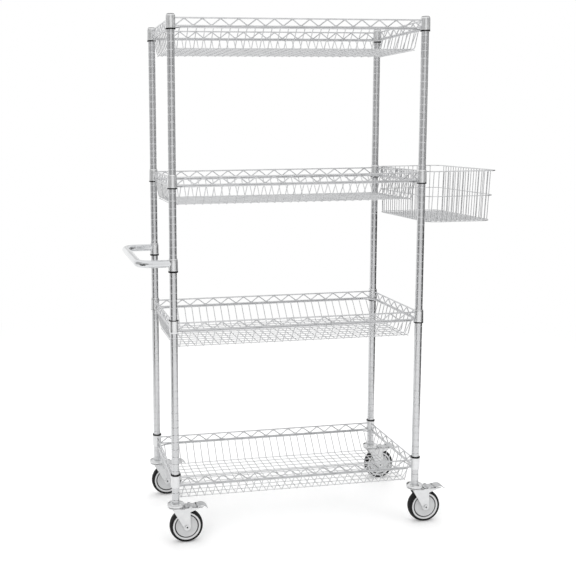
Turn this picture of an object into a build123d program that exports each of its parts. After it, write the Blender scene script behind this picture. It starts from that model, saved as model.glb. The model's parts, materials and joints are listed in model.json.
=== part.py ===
from build123d import *
import os
from math import atan2, cos, degrees, hypot, sin

os.makedirs("parts", exist_ok=True)

# Wire shelving cart with four basket shelves, in millimetres.
# X runs to the right, Y to the back and Z up. The origin is on the floor, centred between the posts.

# Posts
post_span_x = 862.0
post_span_y = 422.0
post_radius = 12.7
post_wall = 1.2
groove_pitch = 25.4
groove_count = 64
groove_width = 3.0
groove_depth = 0.6
post_foot_plain = 11.5
post_top_plain = 6.3
cap_head_height = 5.0
cap_plug_length = 20.0
cap_shoulder = 1.5

# Split sleeves and collars
lip_height = 4.0
lip_radius = 15.2
sleeve_base_radius = 14.4
sleeve_top_radius = 13.6
sleeve_short = 3.5
sleeve_split_gap = 0.4
sleeve_hollow = 0.02
bead_width = 1.6
bead_depth = 0.4
collar_base_radius = 16.2
collar_top_radius = 14.8
collar_edge = 0.8
handle_collar_height = 40.0
handle_bead_rise = 6.0

# Basket shelves
shelf_grooves = (2, 23, 42, 62)
shelf_names = ("bottom", "lower", "upper", "top")
shelf_turned_corners = ("all", "front_left", "none", "none")
rim_wire = 5.0
zigzag_wire = 4.0
basket_wire = 3.0
top_wire_rise = 33.0
chord_rise = 5.5
zigzag_end = 44.0
front_peaks = 14
side_peaks = 7
frame_corner_radius = 50.0
basket_depth = 65.5
floor_thickness = 5.0
front_lean = 55.0
side_lean = 13.0
front_wires = 30
front_wire_inset = 28.5
side_wires = 11
weld_gap = 0.2

# Push handle
handle_groove = 31
handle_reach = 112.5
handle_rise = 24.0
handle_tube_radius = 12.5
handle_tube_wall = 1.5
handle_bend = 45.0

# Side basket
hang_shelf = 2
hang_gap = 19.0
hang_wire = 2.5
hang_rim_wire = 4.0
hang_width = 264.0
hang_length = 456.0
hang_height = 175.0
hang_flare = 22.0
hang_corner = 60.0
hang_rim_rise = 39.0
hang_wire_pitch = 17.6
hang_mid_share = 0.5
hang_corner_wires = 5
hang_floor_gaps_x = 12
hang_floor_gaps_y = 24
hook_count = 3
hook_width = 8.0
hook_thickness = 3.0
hook_drop = 18.0
hook_clearance = 0.3
hook_inset = 45.0

# Castors
castor_height = 137.0
stem_flange = 3.0
stem_length = 45.0
plate_radius = 29.0
plate_thickness = 3.5
plate_lip = 4.0
plate_lip_wall = 2.0
race_gap = 2.5
race_clearance = 0.15
ball_radius = 2.4
ball_circle = 21.0
ball_count = 16
kingpin_radius = 5.0
kingpin_head_radius = 8.0
kingpin_head_height = 2.5
running_clearance = 0.05
swivel_clearance = 0.4
trail = 35.0
wheel_radius = 57.5
tyre_depth = 9.5
tyre_half_width = 15.0
tyre_crown = 3.0
ring_width = 6.0
ring_groove_width = 4.5
ring_groove_depth = 4.0
hub_face_half = 13.5
bearing_radius = 13.0
bearing_fit = 0.02
bearing_end_gap = 0.5
axle_radius = 6.0
axle_head_radius = 9.0
axle_head_height = 4.0
thread_clearance = 0.2
crown_thickness = 3.0
crown_front = 29.0
crown_tail = 14.0
crown_disc_radius = 27.5
crown_disc_thickness = 3.0
leg_gap_half = 19.0
leg_thickness = 2.5
leg_end_radius = 12.0
leg_front = 76.0
leg_front_depth = 4.0
leg_flare_depth = 14.5
pedal_pin_x = 48.0
pedal_pin_drop = 0.7
pedal_pin_radius = 3.0
pedal_pin_head_radius = 4.5
pedal_pin_head_height = 1.5
pedal_ear_half = 6.0
pedal_boss_radius = 5.3
pedal_sheet = 3.0
pedal_sheet_rise = 2.0
pedal_half_width = 17.5
pedal_heel = 30.5
pedal_ridge_x = 68.0
pedal_ridge_pitch = 8.0
pedal_ridge_count = 3
pedal_ridge_height = 2.0
pedal_hump = 94.0
pedal_tip_radius = 16.0
pedal_tip_angle = 68.0
pedal_skirt = 5.0
shoe_back = 53.0
shoe_front = 62.0
shoe_half_width = 11.0
shoe_gap = 3.5

# Places that follow from the sizes
half_x = post_span_x / 2
half_y = post_span_y / 2
post_bore_radius = post_radius - post_wall
post_foot = castor_height + stem_flange
post_length = post_foot_plain + (groove_count - 1) * groove_pitch + post_top_plain
collar_height = 2 * (groove_pitch - lip_height)
weld_reach = post_radius / 2
axle_z = wheel_radius
corners = {
    "front_left": (-half_x, -half_y),
    "front_right": (half_x, -half_y),
    "rear_left": (-half_x, half_y),
    "rear_right": (half_x, half_y),
}


def groove_height(index):
    return post_foot + post_foot_plain + index * groove_pitch


def collar_bottom(groove):
    return groove_height(groove) - groove_pitch / 2 + lip_height


def finish(made, name):
    made.part.label = name
    export_step(made.part, "parts/" + name + ".step", write_pcurves=False)


# Posts: grooved tubes, one at each corner
groove_outline = []
for index in range(groove_count):
    groove_z = groove_height(index) - post_foot
    groove_outline += [
        (post_radius, groove_z - groove_width / 2),
        (post_radius - groove_depth, groove_z - groove_width / 4),
        (post_radius - groove_depth, groove_z + groove_width / 4),
        (post_radius, groove_z + groove_width / 2),
    ]
with BuildPart() as post_unit:
    with BuildSketch(Plane.XZ):
        with BuildLine():
            Polyline(
                (post_bore_radius, 0),
                (post_radius, 0),
                *groove_outline,
                (post_radius, post_length),
                (post_bore_radius, post_length),
                close=True,
            )
        make_face()
    revolve(axis=Axis.Z)

for corner, (x, y) in corners.items():
    with BuildPart() as post:
        with Locations((x, y, post_foot)):
            add(post_unit.part, clean=False)
    finish(post, "post_" + corner)

# Caps: a plug pressed into each post, with a round-shouldered head
with BuildPart() as cap_unit:
    with BuildSketch(Plane.XZ):
        with BuildLine():
            Polyline(
                (0, cap_head_height),
                (0, -cap_plug_length),
                (post_bore_radius, -cap_plug_length),
                (post_bore_radius, 0),
                (post_radius, 0),
                (post_radius, cap_head_height - cap_shoulder),
            )
            shoulder = JernArc((post_radius, cap_head_height - cap_shoulder), (0, 1), cap_shoulder, 90)
            Line(shoulder @ 1, (0, cap_head_height))
        make_face()
    revolve(axis=Axis.Z)
with BuildPart() as caps:
    for x, y in corners.values():
        with Locations((x, y, post_foot + post_length)):
            add(cap_unit.part)
finish(caps, "post_caps")


# Split sleeve: two halves with a lip below the collar and a bead that sits in a groove
def sleeve_pair(height, bead_rise):
    split_angle = degrees(sleeve_split_gap / post_radius)
    slope = (sleeve_base_radius - sleeve_top_radius) / height
    top = lip_height + height - sleeve_short
    top_radius = sleeve_base_radius - slope * (height - sleeve_short)
    middle = (lip_height + top) / 2
    middle_radius = (sleeve_base_radius + top_radius) / 2 - sleeve_hollow
    with BuildPart() as half:
        with BuildSketch(Plane.XZ):
            with BuildLine():
                Polyline(
                    (post_radius, 0),
                    (post_radius, bead_rise - bead_width / 2),
                    (post_radius - bead_depth, bead_rise - bead_width / 4),
                    (post_radius - bead_depth, bead_rise + bead_width / 4),
                    (post_radius, bead_rise + bead_width / 2),
                    (post_radius, top),
                    (top_radius, top),
                )
                ThreePointArc((top_radius, top), (middle_radius, middle), (sleeve_base_radius, lip_height))
                Polyline((sleeve_base_radius, lip_height), (lip_radius, lip_height), (lip_radius, 0), (post_radius, 0))
            make_face()
        revolve(axis=Axis.Z, revolution_arc=180 - split_angle)
    with BuildPart() as pair:
        with PolarLocations(0, 2):
            add(half.part)
    return pair.part


# Collar: a tapered tube that wedges on the sleeve
def collar_tube(height):
    edge_taper = (collar_base_radius - collar_top_radius) * collar_edge / height
    with BuildPart() as tube:
        with BuildSketch(Plane.XZ):
            with BuildLine():
                Polyline(
                    (sleeve_base_radius, 0),
                    (collar_base_radius - collar_edge, 0),
                    (collar_base_radius - edge_taper, collar_edge),
                    (collar_top_radius + edge_taper, height - collar_edge),
                    (collar_top_radius - collar_edge / 2, height),
                    (sleeve_top_radius, height),
                    close=True,
                )
            make_face()
        revolve(axis=Axis.Z)
    return tube.part


# The space that a collar fills, used to trim the wires that are welded to it
def collar_space(height):
    with BuildPart() as space:
        Cone(
            collar_base_radius,
            collar_top_radius,
            height,
            align=(Align.CENTER, Align.CENTER, Align.MIN),
        )
    return space.part


shelf_sleeve = sleeve_pair(collar_height, groove_pitch / 2)
shelf_collar = collar_tube(collar_height)
shelf_collar_space = collar_space(collar_height)


def corner_places(bottom, turned):
    places = {}
    for corner, (x, y) in corners.items():
        upside_down = turned in ("all", corner)
        height = bottom + collar_height if upside_down else bottom
        places[corner] = Location((x, y, height), (180 if upside_down else 0, 0, 0))
    return places


# Rim truss of one side: top wire, zigzag wire and a chord of two stacked wires
def rim_truss(plane, span, peaks):
    period = (span - 2 * zigzag_end) / (peaks - 1)
    upper_chord = chord_rise + rim_wire / 2
    peak_rise = top_wire_rise - zigzag_wire / 4
    valley_rise = upper_chord + zigzag_wire / 4
    zigzag = []
    for step in range(2 * peaks + 1):
        along = -span / 2 + zigzag_end + (step - 1) * period / 2
        zigzag.append((along, valley_rise if step % 2 == 0 else peak_rise))
    with BuildPart() as truss:
        with BuildSketch(plane):
            with Locations((0, top_wire_rise), (0, upper_chord)):
                Rectangle(span - 2 * weld_reach, rim_wire)
            with Locations((0, chord_rise - rim_wire / 2)):
                Rectangle(span - 2 * frame_corner_radius, rim_wire)
            with BuildLine():
                Polyline(*zigzag)
            trace(line_width=zigzag_wire)
        extrude(amount=rim_wire / 2, both=True)
    return truss.part


front_truss = rim_truss(Plane.XZ, post_span_x, front_peaks)
side_truss = rim_truss(Plane.YZ, post_span_y, side_peaks)

# Round corner of the basket's own frame wire, inside a post
frame_corner_gap = degrees(weld_gap / frame_corner_radius)
with BuildPart() as frame_corner:
    with BuildSketch(Plane.XZ):
        with Locations((frame_corner_radius, 0)):
            Rectangle(rim_wire, rim_wire - weld_gap, align=(Align.CENTER, Align.MIN))
    revolve(axis=Axis.Z, revolution_arc=90 - 2 * frame_corner_gap)


# Basket wall: upright wires on a bottom rail, leaning inwards from the chord to the floor
floor_half_x = half_x - side_lean
floor_half_y = half_y - front_lean
floor_rise = chord_rise - basket_depth
wall_top_rise = chord_rise - rim_wire - weld_gap
wall_foot_rise = floor_rise + floor_thickness / 2 + weld_gap


def basket_wall(foot, lean, along, rail, count, pitch):
    drop = wall_top_rise - wall_foot_rise
    slope = atan2(lean, drop)
    edge_rise = sin(slope) * basket_wire / 2
    length = hypot(lean, drop) - 2 * edge_rise / cos(slope)
    outward = Vector(0, -1, 0) if along.X else Vector(1, 0, 0)
    start = outward * (foot + edge_rise * lean / drop) + Vector(0, 0, wall_foot_rise + edge_rise)
    face_normal = outward * cos(slope) + Vector(0, 0, -sin(slope))
    with BuildPart() as wall:
        with BuildSketch(Plane(origin=start, x_dir=along, z_dir=face_normal)):
            Rectangle(rail, basket_wire, align=(Align.CENTER, Align.MIN))
            with GridLocations(pitch, 0, count, 1):
                Rectangle(basket_wire, length, align=(Align.CENTER, Align.MIN))
        extrude(amount=basket_wire / 2, both=True)
    return wall.part


front_pitch = (post_span_x - 2 * front_wire_inset) / (front_wires - 1)
side_pitch = 2 * floor_half_y / (side_wires - 1)
front_rail = 2 * floor_half_x - 2 * basket_wire
side_rail = 2 * floor_half_y + basket_wire
front_wall = basket_wall(floor_half_y, front_lean, Vector(1, 0, 0), front_rail, front_wires, front_pitch)
side_wall = basket_wall(floor_half_x, side_lean, Vector(0, 1, 0), side_rail, side_wires, side_pitch)

# Basket floor: a net of crosswise and lengthwise wires
with BuildPart() as floor_unit:
    with BuildSketch():
        with GridLocations(front_pitch, 0, front_wires, 1):
            Rectangle(basket_wire, 2 * floor_half_y + basket_wire)
        with GridLocations(2 * floor_half_x, 0, 2, 1):
            Rectangle(basket_wire, 2 * floor_half_y + basket_wire)
        with GridLocations(0, side_pitch, 1, side_wires):
            Rectangle(2 * floor_half_x + basket_wire, basket_wire)
    extrude(amount=floor_thickness / 2, both=True)

for shelf, groove, turned in zip(shelf_names, shelf_grooves, shelf_turned_corners):
    bottom = collar_bottom(groove)
    places = corner_places(bottom, turned)

    with BuildPart() as sleeves:
        for place in places.values():
            with Locations(place * Location((0, 0, -lip_height))):
                add(shelf_sleeve, clean=False)
    finish(sleeves, "sleeves_" + shelf)

    with BuildPart() as collars:
        with Locations(*places.values()):
            add(shelf_collar, clean=False)
    finish(collars, "collars_" + shelf)

    with BuildPart() as rim:
        with Locations((0, -half_y, bottom), (0, half_y, bottom)):
            add(front_truss)
        with Locations((-half_x, 0, bottom), (half_x, 0, bottom)):
            add(side_truss)
        with Locations(*places.values()):
            add(shelf_collar_space, mode=Mode.SUBTRACT)
        frame_wire_z = bottom + chord_rise - rim_wire
        for turn, (side_x, side_y) in enumerate(((1, 1), (-1, 1), (-1, -1), (1, -1))):
            centre_x = side_x * (half_x - frame_corner_radius)
            centre_y = side_y * (half_y - frame_corner_radius)
            with Locations(Location((centre_x, centre_y, frame_wire_z), (0, 0, 90 * turn + frame_corner_gap))):
                add(frame_corner.part, clean=False)
    finish(rim, "rim_" + shelf)

    with BuildPart() as walls:
        with Locations((0, 0, bottom)):
            with PolarLocations(0, 2):
                add(front_wall, clean=False)
                add(side_wall, clean=False)
    finish(walls, "basket_walls_" + shelf)

    with BuildPart() as basket_floor:
        with Locations((0, 0, bottom + floor_rise)):
            add(floor_unit.part, clean=False)
    finish(basket_floor, "basket_floor_" + shelf)

# Push handle: a tube bent round from the rear post to the front post, welded to two collars
handle_bottom = groove_height(handle_groove) - handle_bead_rise + lip_height
handle_z = handle_bottom + handle_rise
handle_x = -half_x - handle_reach
handle_posts = ((-half_x, -half_y), (-half_x, half_y))

with BuildPart() as handle_sleeves:
    for x, y in handle_posts:
        with Locations((x, y, handle_bottom - lip_height)):
            add(sleeve_pair(handle_collar_height, handle_bead_rise))
finish(handle_sleeves, "handle_sleeves")

with BuildPart() as handle_collars:
    for x, y in handle_posts:
        with Locations((x, y, handle_bottom)):
            add(collar_tube(handle_collar_height))
finish(handle_collars, "handle_collars")

with BuildPart() as handle:
    with BuildLine(Plane.XY.offset(handle_z)):
        FilletPolyline(
            (-half_x - weld_reach, -half_y),
            (handle_x, -half_y),
            (handle_x, half_y),
            (-half_x - weld_reach, half_y),
            radius=handle_bend,
        )
    with BuildSketch(Plane((-half_x - weld_reach, -half_y, handle_z), x_dir=(0, 1, 0), z_dir=(-1, 0, 0))):
        Circle(handle_tube_radius)
        Circle(handle_tube_radius - handle_tube_wall, mode=Mode.SUBTRACT)
    sweep()
    for x, y in handle_posts:
        with Locations((x, y, handle_bottom)):
            add(collar_space(handle_collar_height), mode=Mode.SUBTRACT)
finish(handle, "push_handle")

# Side basket: flat wire walls and round wire corners, hung on the right side truss of one shelf
hang_bottom = collar_bottom(shelf_grooves[hang_shelf])
hang_rim_z = hang_bottom + hang_rim_rise
hang_floor_z = hang_rim_z - hang_height
hang_in_x = half_x + hang_gap
hang_foot_out_x = hang_in_x + hang_width - hang_flare
hang_half = hang_length / 2
hang_straight_half = hang_half - hang_corner
hang_levels = (
    (hang_floor_z + hang_wire, hang_wire),
    (hang_floor_z + hang_height * hang_mid_share, hang_wire),
    (hang_rim_z - hang_rim_wire / 2, hang_rim_wire),
)


def flare_at(height):
    return hang_flare * (height - hang_floor_z) / hang_height


# Flat wall along Y: bottom, middle and rim wires with uprights
def long_wall(foot_x, lean):
    slope = atan2(lean, hang_height)
    edge_rise = sin(slope) * hang_wire / 2
    length = hypot(lean, hang_height) - hang_rim_wire / 2
    count = round(2 * hang_straight_half / hang_wire_pitch)
    normal = Vector(cos(slope), 0, -sin(slope))
    with BuildPart() as wall:
        with BuildSketch(Plane(origin=(foot_x, 0, hang_floor_z + edge_rise), x_dir=(0, 1, 0), z_dir=normal)):
            for height, wire in hang_levels:
                with Locations((0, (height - hang_floor_z - edge_rise) / cos(slope))):
                    Rectangle(2 * hang_straight_half, wire)
            with GridLocations(2 * hang_straight_half / count, 0, count, 1):
                Rectangle(hang_wire, length, align=(Align.CENTER, Align.MIN))
        extrude(amount=hang_wire / 2, both=True)
    return wall.part


# Flat wall along X, between two round corners
def short_wall(foot_length):
    start = hang_in_x + hang_corner
    count = round(foot_length / hang_wire_pitch)
    with BuildPart() as wall:
        with BuildSketch(Plane((start, 0, 0), x_dir=(1, 0, 0), z_dir=(0, -1, 0))):
            for height, wire in hang_levels:
                with Locations((0, height)):
                    Rectangle(foot_length + flare_at(height), wire, align=(Align.MIN, Align.CENTER))
            with Locations((foot_length / 2, hang_floor_z)):
                with GridLocations(foot_length / count, 0, count, 1):
                    Rectangle(hang_wire, hang_height - hang_rim_wire / 2, align=(Align.CENTER, Align.MIN))
        extrude(amount=hang_wire / 2, both=True)
    return wall.part


# Round corner at the back: quarter rings joined by uprights, which may lean outwards
def round_corner(centre_x, start_angle, lean):
    gap_angle = degrees(weld_gap / hang_corner)
    top_z = hang_rim_z - hang_rim_wire / 2
    with BuildPart() as corner_wires:
        for height, wire in hang_levels:
            reach = lean * (height - hang_floor_z) / hang_height
            centre = Vector(centre_x + reach, hang_straight_half, height)
            spoke = Vector(1, 0, 0).rotate(Axis.Z, start_angle + gap_angle)
            with BuildSketch(Plane(origin=centre, x_dir=spoke, z_dir=spoke.cross(Vector(0, 0, 1)))):
                with Locations((hang_corner, 0)):
                    Rectangle(hang_wire, wire)
            revolve(axis=Axis(centre, (0, 0, 1)), revolution_arc=90 - 2 * gap_angle)
        for index in range(hang_corner_wires):
            angle = start_angle + 90 * (index + 1 / 2) / hang_corner_wires
            spoke = Vector(hang_corner, 0, 0).rotate(Axis.Z, angle)
            foot = spoke + Vector(centre_x, hang_straight_half, hang_floor_z)
            way = Vector(lean * (top_z - hang_floor_z) / hang_height, 0, top_z - hang_floor_z)
            with BuildSketch(Plane(origin=foot, z_dir=way)):
                Rectangle(hang_wire, hang_wire)
            extrude(amount=way.length)
    return corner_wires.part


with BuildPart() as hang_walls:
    add(long_wall(hang_in_x, 0), clean=False)
    add(long_wall(hang_foot_out_x, hang_flare), clean=False)
    with Locations((0, -hang_half, 0), (0, hang_half, 0)):
        add(short_wall(hang_width - hang_flare - 2 * hang_corner), clean=False)
finish(hang_walls, "side_basket_walls")

with BuildPart() as hang_corners:
    add(round_corner(hang_foot_out_x - hang_corner, 0, hang_flare), clean=False)
    add(round_corner(hang_in_x + hang_corner, 90, 0), clean=False)
    mirror(about=Plane.XZ)
finish(hang_corners, "side_basket_corners")

# Side basket floor: a net inside a rounded outline wire
hang_floor_x = (hang_in_x + hang_foot_out_x) / 2
hang_floor_width = hang_foot_out_x - hang_in_x
with BuildPart() as hang_floor:
    with BuildSketch(Plane((hang_floor_x, 0, hang_floor_z - weld_gap))):
        with GridLocations(hang_floor_width / hang_floor_gaps_x, 0, hang_floor_gaps_x - 1, 1):
            Rectangle(hang_wire, hang_length)
        with GridLocations(0, hang_length / hang_floor_gaps_y, 1, hang_floor_gaps_y - 1):
            Rectangle(hang_floor_width, hang_wire)
        with BuildSketch(mode=Mode.INTERSECT):
            RectangleRounded(hang_floor_width, hang_length, hang_corner)
        with BuildSketch():
            RectangleRounded(
                hang_floor_width + hang_wire,
                hang_length + hang_wire,
                hang_corner + hang_wire / 2,
            )
            RectangleRounded(
                hang_floor_width - hang_wire,
                hang_length - hang_wire,
                hang_corner - hang_wire / 2,
                mode=Mode.SUBTRACT,
            )
    extrude(amount=-hang_wire)
finish(hang_floor, "side_basket_floor")

# Hooks: straps from the inner wall over the truss top wire
hook_out_x = hang_in_x - hang_wire / 2 - weld_gap - hook_thickness / 2
hook_in_x = half_x - rim_wire / 2 - hook_clearance - hook_thickness / 2
hook_top_z = hang_bottom + top_wire_rise + rim_wire / 2 + hook_clearance + hook_thickness / 2
hook_pitch = (hang_length - 2 * hook_inset) / (hook_count - 1)
with BuildPart() as hook_unit:
    with BuildSketch(Plane.XZ):
        with BuildLine():
            Polyline(
                (hook_out_x, hook_top_z - 2 * hook_drop),
                (hook_out_x, hook_top_z),
                (hook_in_x, hook_top_z),
                (hook_in_x, hook_top_z - hook_drop),
            )
        trace(line_width=hook_thickness)
    extrude(amount=hook_width / 2, both=True)
with BuildPart() as hooks:
    with GridLocations(0, hook_pitch, 1, hook_count):
        add(hook_unit.part, clean=False)
finish(hooks, "side_basket_hooks")

# Castors: built once on a post axis, with the wheel trailing to the right
plate_top = castor_height - plate_lip
plate_bottom = plate_top - plate_thickness
disc_top = plate_bottom - race_gap
crown_top = disc_top - crown_disc_thickness
crown_bottom = crown_top - crown_thickness
kingpin_head_top = crown_bottom - swivel_clearance
ball_z = disc_top + race_gap / 2
race_radius = ball_radius + race_clearance
pin_z = crown_top - pedal_pin_drop
leg_out_half = leg_gap_half + leg_thickness
tail_x = -crown_tail

# Stem: plug, fixed dished plate and kingpin in one forging
with BuildPart() as stem_unit:
    with BuildSketch(Plane.XZ):
        with BuildLine():
            Polyline(
                (0, kingpin_head_top - kingpin_head_height),
                (kingpin_head_radius, kingpin_head_top - kingpin_head_height),
                (kingpin_head_radius, kingpin_head_top),
                (kingpin_radius, kingpin_head_top),
                (kingpin_radius, plate_bottom),
                (plate_radius, plate_bottom),
                (plate_radius, castor_height),
                (plate_radius - plate_lip_wall, castor_height),
                (plate_radius - plate_lip_wall, plate_top),
                (post_radius, plate_top),
                (post_radius, post_foot),
                (post_bore_radius, post_foot),
                (post_bore_radius, post_foot + stem_length),
                (0, post_foot + stem_length),
                close=True,
            )
        make_face()
    revolve(axis=Axis.Z)
    with Locations((0, 0, ball_z)):
        Torus(ball_circle, race_radius, mode=Mode.SUBTRACT)

# Fork: crown with the lower race, two legs and the ears of the brake pedal
with BuildPart() as fork_unit:
    with BuildSketch(Plane.XY.offset(crown_bottom)):
        with Locations((tail_x, 0)):
            Rectangle(crown_front - tail_x, 2 * leg_out_half, align=(Align.MIN, Align.CENTER))
    extrude(amount=crown_thickness)
    with BuildSketch(Plane.XY.offset(crown_top)):
        Circle(crown_disc_radius)
    extrude(amount=crown_disc_thickness)
    with BuildSketch(Plane.XZ.offset(leg_gap_half)):
        with BuildLine():
            Polyline(
                (tail_x, crown_top),
                (leg_front, crown_top),
                (leg_front, crown_top - leg_front_depth),
                (trail + leg_end_radius, crown_top - leg_flare_depth),
                (trail + leg_end_radius, axle_z),
                (trail - leg_end_radius, axle_z),
                (tail_x, crown_bottom),
                close=True,
            )
        make_face()
        with Locations((trail, axle_z)):
            Circle(leg_end_radius)
            Circle(axle_radius, mode=Mode.SUBTRACT)
        with Locations((pedal_pin_x, pin_z)):
            Circle(pedal_ear_half)
            Circle(pedal_pin_radius, mode=Mode.SUBTRACT)
    extrude(amount=leg_thickness)
    mirror(about=Plane.XZ)
    with Locations((0, 0, crown_bottom)):
        Cylinder(
            kingpin_radius + running_clearance,
            disc_top - crown_bottom,
            align=(Align.CENTER, Align.CENTER, Align.MIN),
            mode=Mode.SUBTRACT,
        )
    with Locations((0, 0, ball_z)):
        Torus(ball_circle, race_radius, mode=Mode.SUBTRACT)

# Fasteners: axle bolt, axle nut and the riveted pedal pin
with BuildPart() as bolts_unit:
    with BuildSketch(Plane.XZ.offset(leg_out_half)):
        with Locations((trail, axle_z)):
            RegularPolygon(axle_head_radius, 6)
    extrude(amount=axle_head_height)
    with BuildSketch(Plane.XZ.offset(leg_out_half)):
        with Locations((trail, axle_z)):
            Circle(axle_radius)
    extrude(amount=-(2 * leg_out_half + axle_head_height))
    with BuildSketch(Plane.XZ.offset(-leg_out_half)):
        with Locations((trail, axle_z)):
            RegularPolygon(axle_head_radius, 6)
            Circle(axle_radius + thread_clearance, mode=Mode.SUBTRACT)
    extrude(amount=-axle_head_height)
    with BuildSketch(Plane.XZ):
        with Locations((pedal_pin_x, pin_z)):
            Circle(pedal_pin_radius)
    extrude(amount=leg_out_half, both=True)
    with BuildSketch(Plane.XZ.offset(leg_out_half)):
        with Locations((pedal_pin_x, pin_z)):
            Circle(pedal_pin_head_radius)
    extrude(amount=pedal_pin_head_height)
    with BuildSketch(Plane.XZ.offset(-leg_out_half)):
        with Locations((pedal_pin_x, pin_z)):
            Circle(pedal_pin_head_radius)
    extrude(amount=-pedal_pin_head_height)

# Wheel: solid tyre, hub with a light outer ring, and the bearing
wheel_centre = Plane((trail, 0, axle_z))
wheel_axis = Axis((trail, 0, axle_z), (0, 1, 0))
rim_radius = wheel_radius - tyre_depth
with BuildPart() as tyre_unit:
    with BuildSketch(wheel_centre):
        with BuildLine():
            Polyline(
                (wheel_radius - tyre_crown, -tyre_half_width),
                (rim_radius, -tyre_half_width),
                (rim_radius, tyre_half_width),
                (wheel_radius - tyre_crown, tyre_half_width),
            )
            ThreePointArc(
                (wheel_radius - tyre_crown, tyre_half_width),
                (wheel_radius, 0),
                (wheel_radius - tyre_crown, -tyre_half_width),
            )
        make_face()
    revolve(axis=wheel_axis)

groove_outer = rim_radius - ring_width
groove_inner = groove_outer - ring_groove_width
groove_floor = hub_face_half - ring_groove_depth
with BuildPart() as hub_unit:
    with BuildSketch(wheel_centre):
        with BuildLine():
            Polyline(
                (bearing_radius + bearing_fit, -hub_face_half),
                (groove_inner, -hub_face_half),
                (groove_inner, -groove_floor),
                (groove_outer, -groove_floor),
                (groove_outer, -hub_face_half),
                (rim_radius, -hub_face_half),
                (rim_radius, hub_face_half),
                (groove_outer, hub_face_half),
                (groove_outer, groove_floor),
                (groove_inner, groove_floor),
                (groove_inner, hub_face_half),
                (bearing_radius + bearing_fit, hub_face_half),
                close=True,
            )
        make_face()
    revolve(axis=wheel_axis)
    with BuildSketch(Plane.XZ.offset(leg_gap_half - bearing_end_gap)):
        with Locations((trail, axle_z)):
            Circle(bearing_radius)
            Circle(axle_radius + running_clearance, mode=Mode.SUBTRACT)
    extrude(amount=-2 * (leg_gap_half - bearing_end_gap))

# Brake pedal: bent sheet on a boss, with ridges, side skirts and the brake shoe
pedal_sheet_z = pin_z + pedal_sheet_rise
with BuildPart() as pedal_unit:
    with BuildSketch(Plane.XZ):
        with BuildLine():
            flat = Line((pedal_heel, pedal_sheet_z), (pedal_hump, pedal_sheet_z))
            JernArc(flat @ 1, flat % 1, pedal_tip_radius, -pedal_tip_angle)
        trace(line_width=pedal_sheet)
        with Locations((pedal_ridge_x, pedal_sheet_z + pedal_sheet / 2)):
            with GridLocations(pedal_ridge_pitch, 0, pedal_ridge_count, 1):
                Circle(pedal_ridge_height)
        with Locations((pedal_pin_x, pin_z)):
            Circle(pedal_boss_radius)
    extrude(amount=pedal_half_width, both=True)
    with BuildSketch(Plane.XZ):
        with Locations((shoe_back, pedal_sheet_z)):
            Rectangle(shoe_front - shoe_back, pedal_sheet_z - axle_z, align=(Align.MIN, Align.MAX))
        with Locations((trail, axle_z)):
            Circle(wheel_radius + shoe_gap, mode=Mode.SUBTRACT)
    extrude(amount=shoe_half_width, both=True)
    with BuildSketch(Plane.XZ.offset(pedal_half_width)):
        with Locations((shoe_front, pedal_sheet_z)):
            Rectangle(pedal_hump - shoe_front, pedal_skirt, align=(Align.MIN, Align.MAX))
    extrude(amount=-pedal_sheet)
    mirror(about=Plane.XZ)
    with BuildSketch(Plane.XZ):
        with Locations((pedal_pin_x, pin_z)):
            Circle(pedal_pin_radius + running_clearance)
    extrude(amount=pedal_half_width, both=True, mode=Mode.SUBTRACT)

castor_units = {
    "castor_stem": stem_unit,
    "castor_fork": fork_unit,
    "castor_bolts": bolts_unit,
    "castor_tyre": tyre_unit,
    "castor_hub": hub_unit,
    "brake_pedal": pedal_unit,
}
for corner, (x, y) in corners.items():
    for piece, unit in castor_units.items():
        with BuildPart() as castor_piece:
            with Locations((x, y, 0)):
                add(unit.part, clean=False)
        finish(castor_piece, piece + "_" + corner)

# Ball rings between the fixed plates and the forks
with BuildPart() as ball_ring:
    with Locations((0, 0, ball_z)):
        with PolarLocations(ball_circle, ball_count):
            Sphere(ball_radius)
with BuildPart() as balls:
    for x, y in corners.values():
        with Locations((x, y, 0)):
            add(ball_ring.part, clean=False)
finish(balls, "swivel_balls")
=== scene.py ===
import json
import math

import bmesh
import bpy
from mathutils import Matrix, Vector


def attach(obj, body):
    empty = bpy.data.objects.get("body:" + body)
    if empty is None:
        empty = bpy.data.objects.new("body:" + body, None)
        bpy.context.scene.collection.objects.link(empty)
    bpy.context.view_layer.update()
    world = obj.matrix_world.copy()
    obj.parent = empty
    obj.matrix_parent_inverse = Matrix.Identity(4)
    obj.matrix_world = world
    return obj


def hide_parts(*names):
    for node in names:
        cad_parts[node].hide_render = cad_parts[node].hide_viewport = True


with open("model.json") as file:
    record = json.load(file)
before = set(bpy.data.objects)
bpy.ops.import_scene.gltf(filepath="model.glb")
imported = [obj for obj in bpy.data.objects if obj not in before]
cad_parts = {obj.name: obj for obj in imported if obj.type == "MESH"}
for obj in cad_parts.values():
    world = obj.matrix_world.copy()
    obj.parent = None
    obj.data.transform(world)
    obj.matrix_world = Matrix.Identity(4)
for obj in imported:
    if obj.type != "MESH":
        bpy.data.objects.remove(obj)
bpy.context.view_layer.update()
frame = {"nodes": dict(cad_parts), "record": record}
print("frame loaded,", len(frame["nodes"]), "nodes")

# Places that several pieces share, in metres
cart = {
    "halfX": 0.431,
    "halfY": 0.211,
    "groovePitch": 0.0254,
    "firstGroove": 0.1515,
    "shelfGrooves": {"bottom": 2, "lower": 23, "upper": 42, "top": 62},
    "turnedCorners": {"bottom": "all", "lower": "front_left", "upper": "none", "top": "none"},  # upside down
    "shortLips": {("lower", "front_left"): 0.0014, ("lower", "rear_left"): 0.0010},
}
corners = {
    "front_left": (-cart["halfX"], -cart["halfY"]),
    "front_right": (cart["halfX"], -cart["halfY"]),
    "rear_left": (-cart["halfX"], cart["halfY"]),
    "rear_right": (cart["halfX"], cart["halfY"]),
}


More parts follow.
